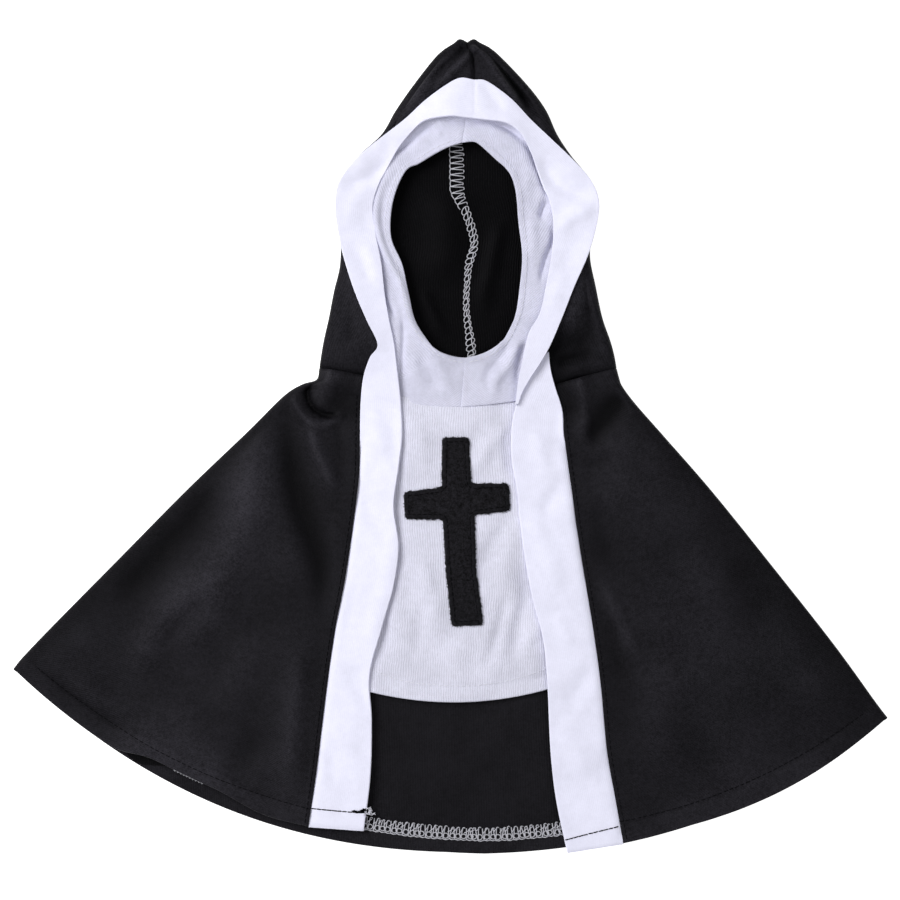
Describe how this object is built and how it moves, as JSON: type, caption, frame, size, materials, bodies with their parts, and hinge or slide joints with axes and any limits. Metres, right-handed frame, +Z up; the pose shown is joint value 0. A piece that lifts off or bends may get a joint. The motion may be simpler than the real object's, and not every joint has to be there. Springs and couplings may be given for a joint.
{
  "type": "pet nun habit, hooded cape",
  "caption": "Pet's nun habit laid flat: a black hooded cape with a white band round hood and fronts, a white coif and bib, and a black cross sewn on the bib.",
  "frame": {"origin": "centre of the habit's outline, on the surface it lies on", "axes": "+X across the habit from its left side fold as seen from above to its right side fold, +Y from the hem to the peak of the hood, +Z up out of the opening for the face"},
  "size_m": [0.4359, 0.4069, 0.013],
  "materials": {
    "black_jersey": "matt black jersey with a soft sheen",
    "white_band": "smooth white cotton jersey",
    "white_knit": "white rib knit with a short nap"
  },
  "bodies": {
    "root": {"cape": "black_jersey", "hood_left": "black_jersey", "hood_right": "black_jersey", "cross": "black_jersey", "band": "white_band", "band_right": "white_band", "coif_left": "white_knit", "coif_right": "white_knit", "bib": "white_knit"}
  },
  "joints": []
}
